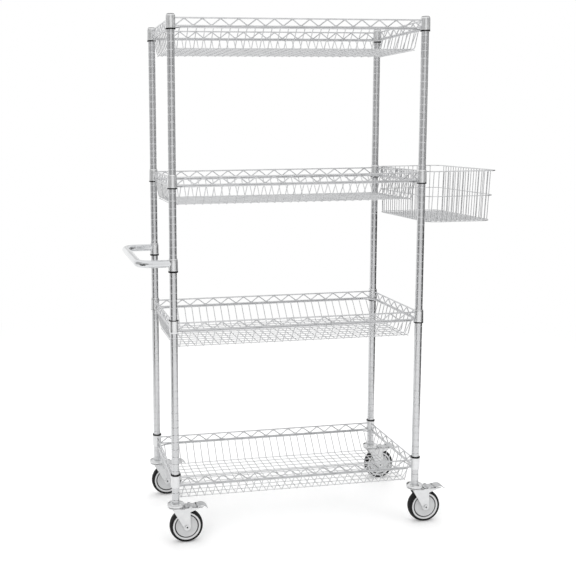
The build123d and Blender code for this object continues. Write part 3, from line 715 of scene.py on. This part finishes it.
stemMesh = lathed(stemProfile, castor["stemEdge"], 48)
legOut = castor["legGap"] + castor["legThick"]
trail, axleZ = castor["trail"], castor["axleZ"]


def arcPoints(centreX, centreZ, radius, start, stop, steps):
    angles = [math.radians(start + (stop - start) * step / steps) for step in range(steps + 1)]
    return [(centreX + radius * math.cos(angle), centreZ + radius * math.sin(angle)) for angle in angles]


legOutline = [(castor["crownTail"], castor["crownTop"]), (castor["crownTail"], castor["crownBottom"])]
legOutline += arcPoints(trail, axleZ, castor["legEnd"], 180.0, 360.0, castor["legEndSteps"])
legOutline += [
    (trail + castor["legEnd"], castor["crownTop"] - castor["legFlare"]),
    (castor["legFront"], castor["crownTop"] - castor["legFrontDepth"]),
    (castor["legFront"], castor["crownTop"]),
]
earStart = math.degrees(math.asin((castor["crownTop"] - castor["pinZ"]) / castor["earHalf"]))
legOutline += arcPoints(castor["pinX"], castor["pinZ"], castor["earHalf"], earStart, 180.0 - earStart,
                        castor["earSteps"])
forkMeshes = []
for side in (-1, 1):
    near, far = sorted((side * castor["legGap"], side * legOut))
    forkMeshes.append(meshFrom(*slab(legOutline, near, far), bevel=castor["legBevel"]))
crownOutline = [
    (castor["crownTail"], castor["crownBottom"]), (castor["crownFront"], castor["crownBottom"]),
    (castor["crownFront"], castor["crownTop"]), (castor["crownTail"], castor["crownTop"]),
]
forkMeshes.append(meshFrom(*slab(crownOutline, -legOut, legOut), bevel=castor["crownBevel"]))
discIn, discBottom = castor["kingpin"] + castor["discGap"], castor["crownTop"] - castor["discSink"]
discProfile = [
    (discIn, discBottom), (castor["discRadius"], discBottom), (castor["discRadius"], castor["discTop"]),
    (discIn, castor["discTop"]),
]
forkMeshes.append(lathed(discProfile, castor["discEdge"], 48))

# Axle bolt with a hexagon head and socket at both ends, a dark disc on each socket floor as painted shade,
# and the pedal's pin with its domed heads
bolt = {
    "head": 0.009, "height": 0.004, "chamfer": 0.0008, "bevel": 0.0002, "recess": 0.0034, "depth": 0.0024,
    "floorTaper": 0.96, "floorRim": 0.0006, "floorMiddle": 0.0004, "shank": 0.006, "shankExtra": 0.006,
    "shankStart": 0.002, "shankEdge": 0.0006,
}
atAxle = Matrix.Translation((trail, 0, axleZ))
atPin = Matrix.Translation((castor["pinX"], 0, castor["pinZ"]))
towardsFront, towardsBack = Matrix.Rotation(math.pi / 2, 4, "X"), Matrix.Rotation(-math.pi / 2, 4, "X")
headOutline = [
    (0, 0), (bolt["head"], 0), (bolt["head"], bolt["height"] - bolt["chamfer"]),
    (bolt["head"] - bolt["chamfer"], bolt["height"]), (bolt["recess"], bolt["height"]),
    (bolt["recess"], bolt["height"] - bolt["depth"]), (0, bolt["height"] - bolt["depth"]),
]
headMesh = meshFrom(*turned(headOutline, 6), sharpAngle=20, bevel=bolt["bevel"])
# A thin disc on each socket floor, given the near-black finish: painted shade in the recess
socketShadeOutline = [
    (0, 0), (bolt["recess"], 0), (bolt["recess"] * bolt["floorTaper"], bolt["floorRim"]),
    (0, bolt["floorMiddle"]),
]
socketShadeMesh = meshFrom(*turned(socketShadeOutline, 6), sharpAngle=20)
shankEnd = 2 * legOut + bolt["shankExtra"]
shankProfile = [(0, 0), (bolt["shank"], 0), (bolt["shank"], shankEnd), (0, shankEnd)]
shankMesh = lathed(shankProfile, bolt["shankEdge"], 32)
domeProfile = [(castor["pinHead"] * out, castor["pinHeadHeight"] * rise) for out, rise in castor["pinDome"]]
domeMesh = meshFrom(*turned(domeProfile, 24), sharpAngle=60)
pinProfile = [(0, -legOut), (castor["pinRadius"], -legOut), (castor["pinRadius"], legOut), (0, legOut)]
socketOut = legOut + bolt["height"] - bolt["depth"]
socketShadeMeshes, boltMeshes = [], []
for turn in (towardsFront, towardsBack):
    socketShadeMeshes.append(placed(shifted(socketShadeMesh, 0, 0, socketOut), turn, atAxle))
    boltMeshes.append(placed(shifted(headMesh, 0, 0, legOut), turn, atAxle))
    boltMeshes.append(placed(shifted(domeMesh, 0, 0, legOut), turn, atPin))
boltMeshes.append(placed(shifted(shankMesh, 0, 0, -legOut - bolt["shankStart"]), towardsBack, atAxle))
boltMeshes.append(placed(meshFrom(*turned(pinProfile, 20)), towardsBack, atPin))

# Wheel: crowned tyre, hub with a dished disc, a groove whose floor is painted near-black as shade, a light
# outer ring, and the bearing
wheel = {
    "radius": 0.0575, "half": 0.015, "crown": 0.0025, "shoulder": 0.0025, "treadShare": 0.86, "treadSteps": 6,
    "rimRadius": 0.048, "edge": 0.0008, "face": 0.0135, "grooveOuter": 0.042, "grooveInner": 0.0375,
    "grooveFloor": 0.0095, "webLap": 0.001, "webRise": 0.0002, "dish": 0.0012, "outerLand": 0.004,
    "outerDish": 0.006, "innerDish": 0.006, "innerLand": 0.003, "fit": 0.00002, "bearing": 0.013,
    "bearingHalf": 0.0185, "bearingCone": 0.003, "bearingEdge": 0.0006, "bore": 0.00605, "sides": 96,
}
treadSteps, sideWall = wheel["treadSteps"], wheel["radius"] - wheel["crown"] - wheel["shoulder"]
rimRadius, edge = wheel["rimRadius"], wheel["edge"]
tread = [
    (wheel["radius"] - wheel["crown"] * (step / treadSteps) ** 2,
     wheel["half"] * wheel["treadShare"] * step / treadSteps)
    for step in range(-treadSteps, treadSteps + 1)
]
tyreProfile = [
    (rimRadius, -wheel["half"] + edge), (rimRadius + edge, -wheel["half"]), (sideWall, -wheel["half"]),
    *tread,
    (sideWall, wheel["half"]), (rimRadius + edge, wheel["half"]), (rimRadius, wheel["half"] - edge),
]
tyreMesh = placed(meshFrom(*turned(tyreProfile, wheel["sides"]), sharpAngle=50), towardsBack, atAxle)
face, grooveInner, grooveFloor = wheel["face"], wheel["grooveInner"], wheel["grooveFloor"]
ringOutline = [
    (wheel["grooveOuter"], grooveFloor), (rimRadius, grooveFloor), (rimRadius, face),
    (wheel["grooveOuter"], face),
]
discOutline = [
    (wheel["bearing"] + wheel["fit"], 0), (grooveInner, 0), (grooveInner, face),
    (grooveInner - wheel["outerLand"], face), (grooveInner - wheel["outerDish"], face - wheel["dish"]),
    (wheel["bearing"] + wheel["innerDish"], face - wheel["dish"]),
    (wheel["bearing"] + wheel["innerLand"], face), (wheel["bearing"] + wheel["fit"], face),
]
webOutline = [
    (grooveInner - wheel["webLap"], 0), (rimRadius - wheel["webLap"], 0),
    (rimRadius - wheel["webLap"], grooveFloor + wheel["webRise"]),
    (grooveInner - wheel["webLap"], grooveFloor),
]
discMesh, ringMesh = (lathed(outline, edge, wheel["sides"]) for outline in (discOutline, ringOutline))
# The groove's floor, given the near-black finish: painted shade in the groove
grooveShadeWeb = meshFrom(*turned(webOutline, wheel["sides"]), sharpAngle=45)
hubMeshes, ringMeshes, grooveShadeMeshes = (
    [placed(mesh, turn, atAxle) for turn in (towardsFront, towardsBack)]
    for mesh in (discMesh, ringMesh, grooveShadeWeb)
)
coneRadius = wheel["bearing"] - wheel["bearingCone"]
bearingProfile = [
    (wheel["bore"], -wheel["bearingHalf"]), (coneRadius, -wheel["bearingHalf"]), (wheel["bearing"], -face),
    (wheel["bearing"], face), (coneRadius, wheel["bearingHalf"]), (wheel["bore"], wheel["bearingHalf"]),
]
bearingMesh = placed(lathed(bearingProfile, wheel["bearingEdge"], 48), towardsBack, atAxle)

# Brake pedal: corrugated sheet on a boss, with side skirts and the brake shoe
pedal = {
    "sheet": 0.0022, "rise": 0.0020, "half": 0.0175, "heel": 0.0305, "tip": 0.1075, "steps": 120,
    "bevel": 0.0005, "grooves": (0.0400, 0.0500, 0.0600), "grooveDepth": 0.0016, "grooveHalf": 0.0024,
    "slot": 0.0705, "slotDepth": 0.0042, "slotHalf": 0.0034, "humpFoot": 0.0705, "humpRise": 0.0040,
    "humpPeak": 0.0885, "tipDrop": 0.0105, "boss": 0.0053, "bossGap": 0.00005, "bossEdge": 0.0005,
    "shoeBack": 0.053, "shoeFront": 0.062, "shoeHalf": 0.011, "shoeGap": 0.0035, "shoeSteps": 5,
    "shoeBevel": 0.0006, "skirt": 0.005, "skirtReach": 0.004, "skirtNotch": 0.010, "skirtEnd": 0.006,
}
dips = [(groove, pedal["grooveDepth"], pedal["grooveHalf"]) for groove in pedal["grooves"]]
dips.append((pedal["slot"], pedal["slotDepth"], pedal["slotHalf"]))


def bandOutline(points, thick):
    above, below = [], []
    for index, point in enumerate(points):
        before, after = Vector(points[max(index - 1, 0)]), Vector(points[min(index + 1, len(points) - 1)])
        along = (after - before).normalized()
        normal = Vector((-along.y, along.x)) * thick / 2
        above.append(tuple(Vector(point) + normal))
        below.append(tuple(Vector(point) - normal))
    return above + below[::-1]


# Height of the pedal's sheet along its length: three grooves, a slot, then a broad hump down to the tip
def pedalHeight(x):
    lift = 0.0
    for middle, depth, half in dips:
        if abs(x - middle) < half:
            lift -= depth * math.cos(math.pi / 2 * (x - middle) / half) ** 2
    if x > pedal["humpPeak"]:
        share = (x - pedal["humpPeak"]) / (pedal["tip"] - pedal["humpPeak"])
        return pedal["humpRise"] - pedal["tipDrop"] * share ** 2
    if x > pedal["humpFoot"]:
        share = (x - pedal["humpFoot"]) / (pedal["humpPeak"] - pedal["humpFoot"])
        lift += pedal["humpRise"] * math.sin(math.pi / 2 * share)
    return lift


sheetZ, pedalHalf = castor["pinZ"] + pedal["rise"], pedal["half"]
line = []
for step in range(pedal["steps"] + 1):
    x = pedal["heel"] + (pedal["tip"] - pedal["heel"]) * step / pedal["steps"]
    line.append((x, sheetZ + pedalHeight(x)))
sheet = slab(bandOutline(line, pedal["sheet"]), -pedalHalf, pedalHalf)
bossIn = castor["pinRadius"] + pedal["bossGap"]
bossProfile = [
    (bossIn, -pedalHalf), (pedal["boss"], -pedalHalf), (pedal["boss"], pedalHalf), (bossIn, pedalHalf),
]
shoeRadius = wheel["radius"] + pedal["shoeGap"]
shoeOutline = [(pedal["shoeBack"], sheetZ), (pedal["shoeFront"], sheetZ)]
for step in range(pedal["shoeSteps"] + 1):
    x = pedal["shoeFront"] + (pedal["shoeBack"] - pedal["shoeFront"]) * step / pedal["shoeSteps"]
    shoeOutline.append((x, axleZ + math.sqrt(shoeRadius ** 2 - (x - trail) ** 2)))
pedalMeshes = [
    meshFrom(*sheet, bevel=pedal["bevel"]),
    placed(lathed(bossProfile, pedal["bossEdge"], 32), towardsBack, atPin),
    meshFrom(*slab(shoeOutline, -pedal["shoeHalf"], pedal["shoeHalf"]), bevel=pedal["shoeBevel"]),
]
skirtOutline = [
    (pedal["shoeFront"] - pedal["skirtReach"], sheetZ), (pedal["slot"], sheetZ - pedal["slotDepth"]),
    (pedal["slot"] + pedal["skirtNotch"], sheetZ), (pedal["humpPeak"] + pedal["skirtEnd"], sheetZ),
    (pedal["humpPeak"], sheetZ - pedal["skirt"]),
    (pedal["shoeFront"] + pedal["skirtReach"], sheetZ - pedal["skirt"]),
]
for side in (-1, 1):
    near, far = sorted((side * (pedalHalf - pedal["sheet"]), side * pedalHalf))
    pedalMeshes.append(meshFrom(*slab(skirtOutline, near, far), bevel=pedal["bevel"]))

# Start of the name, start of the CAD node's name, meshes, slot and start of the body's name
castorPieces = (
    ("castor-stem-", "castor_stem_", [stemMesh], "castor_zinc", "root"),
    ("castor-fork-", "castor_fork_", forkMeshes, "castor_zinc", "fork_"),
    ("castor-bolts-", "castor_bolts_", boltMeshes, "castor_zinc", "fork_"),
    ("castor-tyre-", "castor_tyre_", [tyreMesh], "tyre_rubber", "wheel_"),
    ("castor-hub-", "castor_hub_", hubMeshes + [bearingMesh], "hub_plastic", "wheel_"),
    ("brake-pedal-", "brake_pedal_", pedalMeshes, "pedal_zinc", "pedal_"),
)
# The same without a CAD node, and with a look of their own: the hub groove floors and bolt socket discs are
# painted shade, the hub ring a lighter tone
castorTrims = (
    ("hub-groove-", grooveShadeMeshes, "hub_plastic", "groove_dark", "wheel_"),
    ("hub-ring-", ringMeshes, "hub_plastic", "hub_ring", "wheel_"),
    ("bolt-socket-", socketShadeMeshes, "castor_zinc", "groove_dark", "fork_"),
)
for corner, (x, y) in corners.items():
    for name, node, meshes, slot, body in castorPieces:
        body = body if body == "root" else body + corner
        addPiece(name + corner, [shifted(mesh, x, y, 0) for mesh in meshes], slot, body, [node + corner])
    for name, meshes, slot, look, body in castorTrims:
        addPiece(name + corner, [shifted(mesh, x, y, 0) for mesh in meshes], slot, body + corner,
                 look=finishes[look])
print("castors done")

# CAD nodes that stay get their finish from the record's slots
slotOf = {part["node"]: part["material_slot"] for part in frame["record"]["subparts"]}
for name, node in frame["nodes"].items():
    node.data.materials.clear()
    node.data.materials.append(finishes[slotOf[name]])

# Floor, light and camera
stage = {
    "floorReach": 14.0, "floorSides": 64, "fadeFrom": 1.4, "fadeTo": 3.6, "floorLift": 0.15,
    "paperGrain": 900.0, "paperDark": (0.92, 0.92, 0.92), "paperLight": (0.95, 0.95, 0.95),
    "worldLight": 0.72, "flagHalf": 0.005, "aim": (0.05, 0, 0.85),
    "lamps": (  # name, place, width, height and power
        ("keyLamp", (-2.6, -3.4, 3.2), 2.6, 2.2, 60.0),
        ("fillLamp", (3.2, -2.6, 2.0), 2.2, 2.6, 25.0),
        ("topLamp", (0.2, 0.6, 4.0), 3.0, 2.0, 35.0),
        ("backLamp", (1.2, 3.6, 2.4), 3.0, 2.4, 25.0),
    ),
    "flags": (  # seen only in reflections: name, place, width, turn, foot, top and tone
        ("leftFlag", (-4.6, 0.9), 5.0, 90.0, 0.0, 4.4, 0.50),
        ("frontLeftFlag", (-4.6, -4.4), 4.6, -45.0, 0.0, 4.4, 0.34),
        ("frontFlag", (-1.2, -6.6), 3.0, 0.0, 0.0, 4.4, 0.80),
        ("frontRightFlag", (3.8, -4.6), 5.0, 45.0, 0.0, 4.4, 0.34),
        ("rightFlag", (4.8, 0.9), 5.0, 90.0, 0.0, 4.4, 0.28),
        ("backFlag", (0.3, 5.0), 2.4, 0.0, 1.6, 3.8, 0.7),
        ("lowLeftFlag", (-1.65, -0.68), 1.0, 111.0, 0.0, 1.0, 0.08),
        ("lowRightFlag", (1.68, 0.0), 2.6, 90.0, 0.0, 1.05, 0.05),
    ),
}
white = (1, 1, 1, 1)


def emptyMaterial(name):
    material = bpy.data.materials.new(name)
    material.use_nodes = True
    material.node_tree.nodes.clear()
    return material


def endTree(tree, last, kind):
    output = tree.nodes.new("ShaderNodeOutput" + kind)
    tree.links.new(last.socket, output.inputs["Surface"])


bpy.ops.mesh.primitive_circle_add(
    vertices=stage["floorSides"], radius=stage["floorReach"], fill_type="NGON", location=(0, 0, 0)
)
floor = bpy.context.object
floor.name = "floor"
floorMaterial = emptyMaterial("floorPaper")
shade = Shade(floorMaterial.node_tree)
place = shade.make("TexCoord", out="Object")
reach = shade.make("VectorMath", {0: place}, out=1, operation="LENGTH")
fade = shade.make("MapRange", {0: reach, 1: stage["fadeFrom"], 2: stage["fadeTo"], 3: 0.0, 4: 1.0},
                  interpolation_type="SMOOTHSTEP")
grain = shade.make("TexNoise", {0: place, "Scale": stage["paperGrain"], "Detail": 2.0})
tone = blendTones(shade, grain, stage["paperDark"], stage["paperLight"])
paper = shade.make("BsdfDiffuse", {"Color": tone})
glow = shade.make("Emission", {"Color": white, "Strength": 1.0})
lift = shade.make("LightPath", out="Is Camera Ray") * stage["floorLift"]
lifted = shade.make("AddShader", {0: paper, 1: shade.make("Emission", {"Color": white, "Strength": lift})})
mixed = shade.make("MixShader", {0: fade, 1: lifted, 2: glow})
endTree(floorMaterial.node_tree, mixed, "Material")
floor.data.materials.append(floorMaterial)

for name, (x, y), width, turn, foot, top, tone in stage["flags"]:
    cloth = emptyMaterial(name)
    even = Shade(cloth.node_tree).make("Emission", {"Color": white, "Strength": tone})
    endTree(cloth.node_tree, even, "Material")
    outline = [(-width / 2, foot), (width / 2, foot), (width / 2, top), (-width / 2, top)]
    mesh = meshFrom(*slab(outline, -stage["flagHalf"], stage["flagHalf"]))
    mesh.transform(Matrix.Translation((x, y, 0)) @ Matrix.Rotation(math.radians(turn), 4, "Z"))
    mesh.materials.append(cloth)
    flag = bpy.data.objects.new(name, mesh)
    bpy.context.scene.collection.objects.link(flag)
    flag.visible_camera = False
    flag.visible_diffuse = False
    flag.visible_shadow = False

world = bpy.data.worlds.new("studio")
bpy.context.scene.world = world
world.use_nodes = True
world.node_tree.nodes.clear()
shade = Shade(world.node_tree)
camera = shade.make("LightPath", out="Is Camera Ray")
glossy = shade.make("LightPath", out="Is Glossy Ray")
through = shade.make("LightPath", out="Is Transmission Ray")
seen = shade.maths("MINIMUM", camera + glossy + through, 1.0)
strength = seen * (1.0 - stage["worldLight"]) + stage["worldLight"]
sky = shade.make("Background", {"Color": white, "Strength": strength})
endTree(world.node_tree, sky, "World")

middle = Vector(stage["aim"])
for name, place, wide, tall, power in stage["lamps"]:
    light = bpy.data.lights.new(name, "AREA")
    light.shape = "RECTANGLE"
    light.size, light.size_y = wide, tall
    light.energy = power
    lamp = bpy.data.objects.new(name, light)
    lamp.location = place
    lamp.rotation_euler = (middle - Vector(place)).to_track_quat("-Z", "Y").to_euler()
    lamp.visible_glossy = False
    bpy.context.scene.collection.objects.link(lamp)

# The camera's place and turn were solved from the photograph
shot = {
    "place": (-0.9201, -3.1598, 1.4049), "yaw": 9.861, "pitch": 7.423, "roll": -0.587, "focal": 919.7,
    "centreX": 180.0, "centreY": 247.0, "frame": 576.0, "sensor": 36.0,
}
yaw, pitch, roll = (math.radians(shot[key]) for key in ("yaw", "pitch", "roll"))
ahead = Vector((math.sin(yaw) * math.cos(pitch), math.cos(yaw) * math.cos(pitch), -math.sin(pitch)))
right = Vector((math.cos(yaw), -math.sin(yaw), 0))
up = right.cross(ahead)
turnedRight = right * math.cos(roll) + up * math.sin(roll)
turnedUp = up * math.cos(roll) - right * math.sin(roll)
lens = bpy.data.cameras.new("photoCamera")
lens.sensor_width = shot["sensor"]
lens.lens = shot["focal"] * shot["sensor"] / shot["frame"]
lens.shift_x = (shot["frame"] / 2 - shot["centreX"]) / shot["frame"]
lens.shift_y = (shot["centreY"] - shot["frame"] / 2) / shot["frame"]
cameraObject = bpy.data.objects.new("photoCamera", lens)
turn = Matrix((turnedRight, turnedUp, -ahead)).transposed().to_4x4()
cameraObject.matrix_world = Matrix.Translation(shot["place"]) @ turn
bpy.context.scene.collection.objects.link(cameraObject)
bpy.context.scene.camera = cameraObject
bpy.context.scene.view_settings.view_transform = "Standard"
print("stage, light and camera done")
